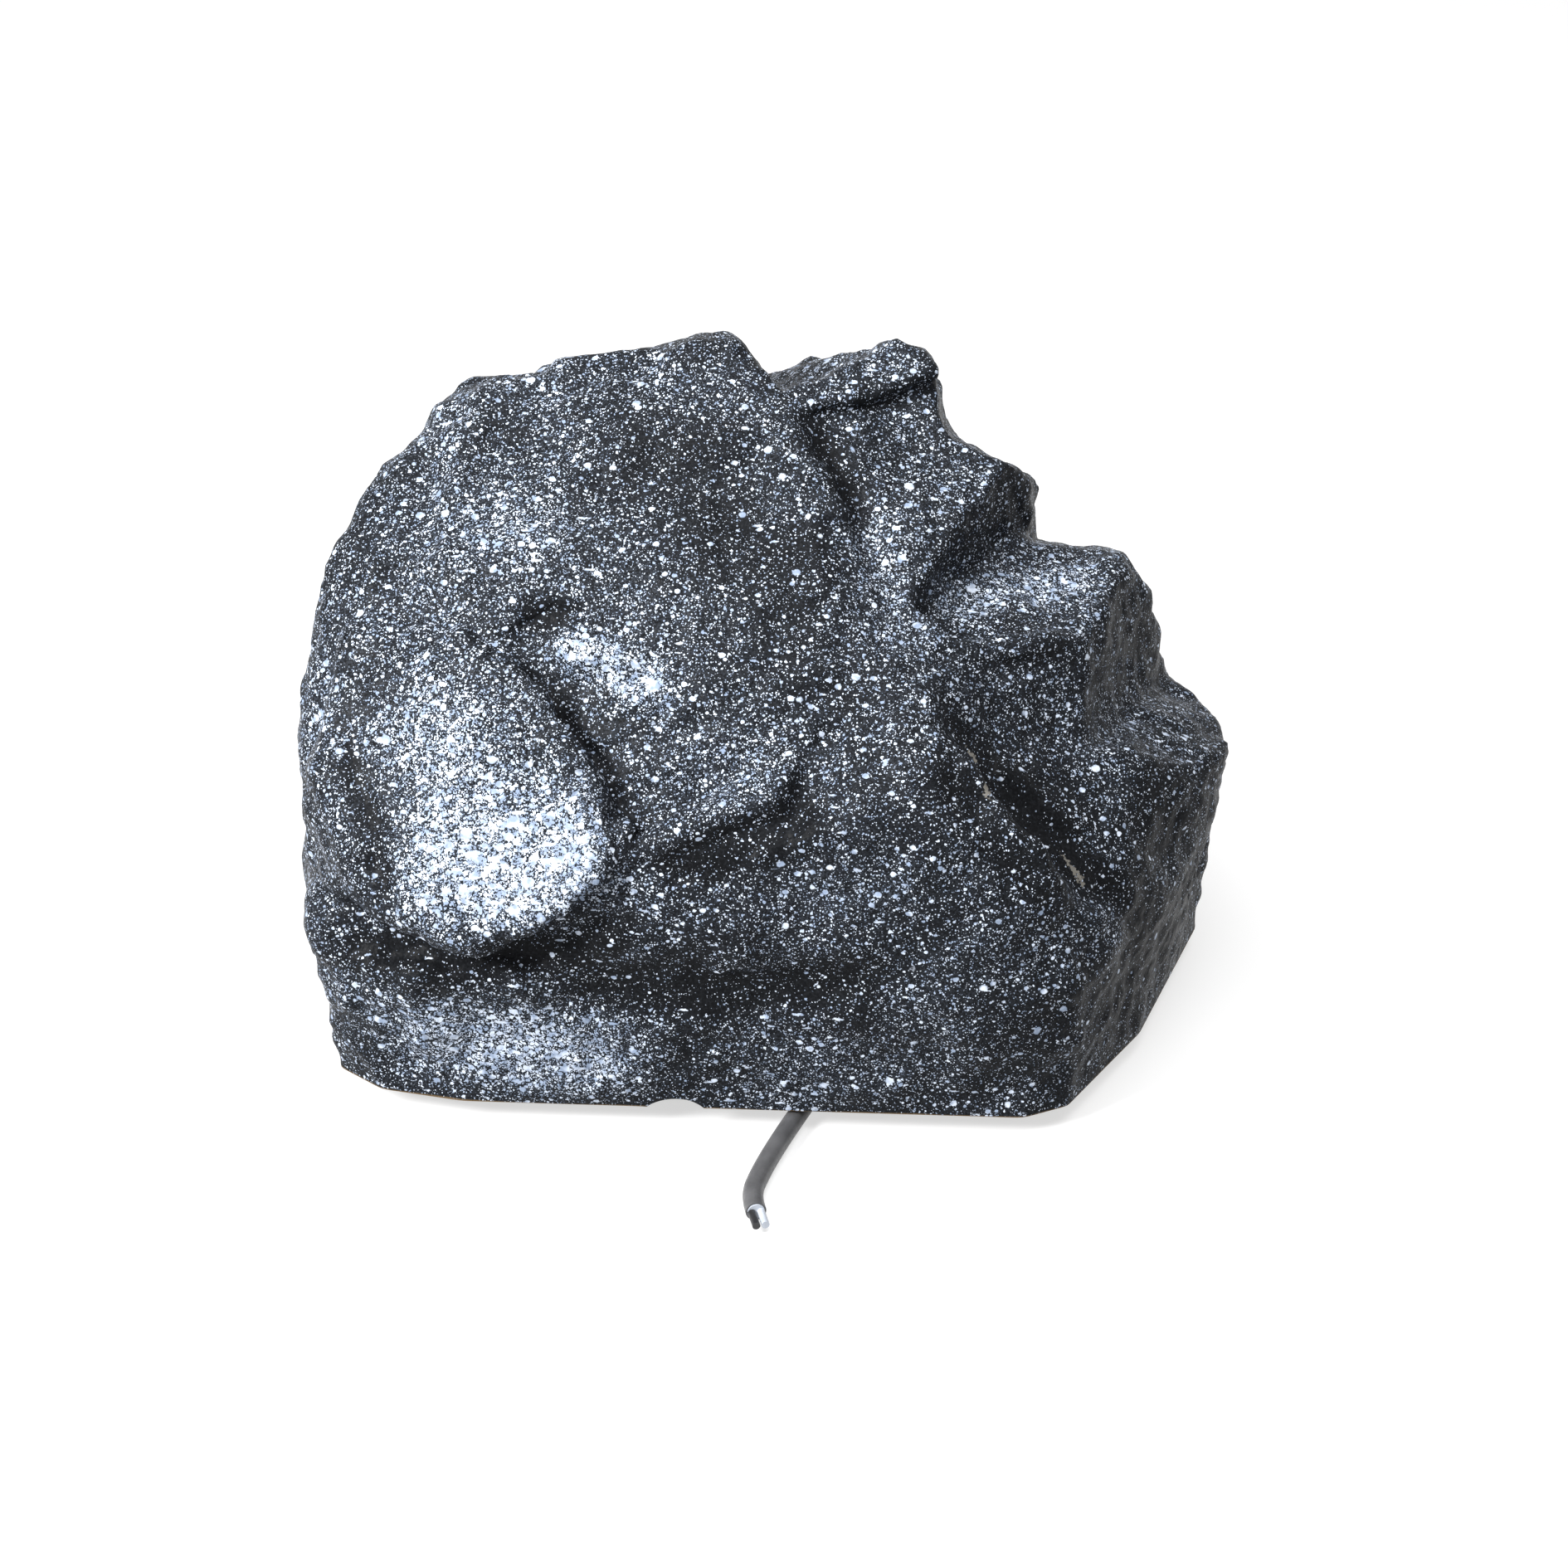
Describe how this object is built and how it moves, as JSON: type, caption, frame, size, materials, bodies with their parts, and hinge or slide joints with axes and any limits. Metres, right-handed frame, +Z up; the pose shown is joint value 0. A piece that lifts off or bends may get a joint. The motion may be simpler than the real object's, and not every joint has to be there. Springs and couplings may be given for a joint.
{
  "type": "rock shaped garden speaker",
  "caption": "Hollow boulder-shaped outdoor loudspeaker: speckled charcoal shell on rubber feet, round grille with a coaxial driver on one side, cable leaving under the rim.",
  "frame": {"origin": "on the floor under the middle of the boulder, cable left out", "axes": "+Z up; +Y towards the grille side; +X along the boulder's length, to the right when the cable side is faced"},
  "size_m": [0.3141, 0.2769, 0.229],
  "materials": {
    "stone_paint": "semi-gloss charcoal paint with white specks",
    "sealed_plywood": "dark sealed plywood",
    "foam": "closed-cell foam",
    "black_rubber": "moulded rubber",
    "zinc_steel": "zinc-plated steel",
    "black_steel": "black powder coat",
    "black_polymer": "moulded polymer",
    "ferrite": "ground ferrite",
    "copper": "enamelled copper wire",
    "tinned_brass": "tinned brass",
    "spider_cloth": "resin-treated cloth",
    "dome_cloth": "coated silk",
    "circuit_board": "solder-masked laminate",
    "cement": "white cement body",
    "phenolic": "brown laminate",
    "grey_vinyl": "grey vinyl sheath",
    "black_vinyl": "black vinyl",
    "white_vinyl": "white vinyl"
  },
  "bodies": {
    "enclosure": {"baffle_ring": "sealed_plywood", "base_board": "sealed_plywood", "base_gasket": "foam", "base_screws": "zinc_steel", "cable_core_black": "black_vinyl", "cable_core_white": "white_vinyl", "cable_grommet": "black_rubber", "capacitor": "black_polymer", "crossover_board": "circuit_board", "crossover_standoffs": "black_polymer", "driver_frame": "black_steel", "driver_gasket": "foam", "driver_screws": "zinc_steel", "driver_spider": "spider_cloth", "driver_surround": "black_rubber", "foot_1": "black_rubber", "foot_2": "black_rubber", "foot_3": "black_rubber", "foot_4": "black_rubber", "foot_screws": "zinc_steel", "grille": "black_steel", "inductor": "copper", "inner_lead": "grey_vinyl", "pole_yoke": "zinc_steel", "resistor": "cement", "ring_magnet": "ferrite", "rock_shell": "stone_paint", "solder_tags": "tinned_brass", "speaker_cable": "grey_vinyl", "tag_strip": "phenolic", "terminal_block": "black_polymer", "top_plate": "zinc_steel", "tweeter_cup": "black_polymer", "tweeter_dome": "dome_cloth", "tweeter_post": "black_polymer"},
    "cone": {"driver_cone": "black_polymer", "voice_coil": "copper"}
  },
  "joints": [
    {"name": "cone_travel", "type": "slide", "parent": "enclosure", "child": "cone", "axis": [0, 0.9848, 0.1736], "range_m": [-0.003, 0.003], "stiffness_N_per_m": 1500, "deforming": ["driver_surround", "driver_spider"]}
  ]
}
